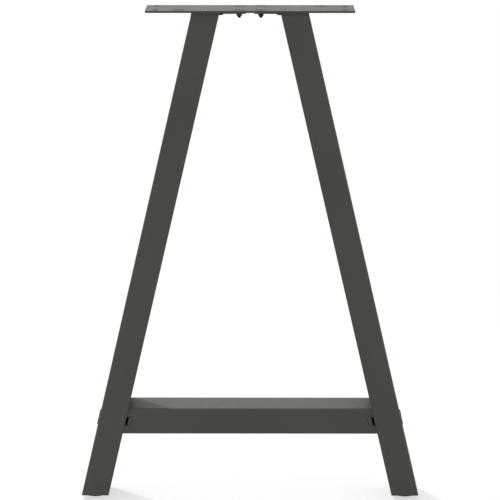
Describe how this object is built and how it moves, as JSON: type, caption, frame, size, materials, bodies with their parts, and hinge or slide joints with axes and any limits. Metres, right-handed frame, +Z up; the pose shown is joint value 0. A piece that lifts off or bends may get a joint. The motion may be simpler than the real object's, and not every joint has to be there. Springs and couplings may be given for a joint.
{
  "type": "trestle table leg",
  "caption": "A-shaped trestle leg of folded sheet steel: two leaning channel legs, a bolted crossbar low down, a flat top plate for a table top and screw-in levelling feet.",
  "frame": {"origin": "on the floor, under the middle of the frame, at the bottom centre of its bounding box", "axes": "+X across the frame from the left leg to the right leg, +Y from the front to the back, +Z up from the floor to the table top"},
  "size_m": [0.5, 0.076, 0.728],
  "materials": {
    "anthracite_powder_coat": "matte fine-textured powder coat",
    "black_zinc_fixings": "satin black zinc",
    "black_foot_plastic": "matte moulded plastic"
  },
  "bodies": {
    "frame": {"top_plate": "anthracite_powder_coat", "crossbar": "anthracite_powder_coat", "left_leg": "anthracite_powder_coat", "left_mount_plate": "anthracite_powder_coat", "left_foot_plate": "anthracite_powder_coat", "left_foot_nut": "anthracite_powder_coat", "left_plate_screw_front": "black_zinc_fixings", "left_plate_nut_front": "black_zinc_fixings", "left_plate_screw_back": "black_zinc_fixings", "left_plate_nut_back": "black_zinc_fixings", "left_plate_screw_tongue": "black_zinc_fixings", "left_plate_nut_tongue": "black_zinc_fixings", "left_bar_bolt_front": "black_zinc_fixings", "left_bar_washer_front": "black_zinc_fixings", "left_bar_nut_front": "black_zinc_fixings", "left_bar_bolt_back": "black_zinc_fixings", "left_bar_washer_back": "black_zinc_fixings", "left_bar_nut_back": "black_zinc_fixings", "right_leg": "anthracite_powder_coat", "right_mount_plate": "anthracite_powder_coat", "right_foot_plate": "anthracite_powder_coat", "right_foot_nut": "anthracite_powder_coat", "right_plate_screw_front": "black_zinc_fixings", "right_plate_nut_front": "black_zinc_fixings", "right_plate_screw_back": "black_zinc_fixings", "right_plate_nut_back": "black_zinc_fixings", "right_plate_screw_tongue": "black_zinc_fixings", "right_plate_nut_tongue": "black_zinc_fixings", "right_bar_bolt_front": "black_zinc_fixings", "right_bar_washer_front": "black_zinc_fixings", "right_bar_nut_front": "black_zinc_fixings", "right_bar_bolt_back": "black_zinc_fixings", "right_bar_washer_back": "black_zinc_fixings", "right_bar_nut_back": "black_zinc_fixings"},
    "left_foot": {"left_foot_stud": "black_zinc_fixings", "left_foot_pad": "black_foot_plastic"},
    "right_foot": {"right_foot_stud": "black_zinc_fixings", "right_foot_pad": "black_foot_plastic"}
  },
  "joints": [
    {"name": "left_foot_adjust", "type": "slide", "parent": "frame", "child": "left_foot", "axis": [0, 0, 1], "range_m": [-0.01, 0.001]},
    {"name": "right_foot_adjust", "type": "slide", "parent": "frame", "child": "right_foot", "axis": [0, 0, 1], "range_m": [-0.01, 0.001]}
  ]
}
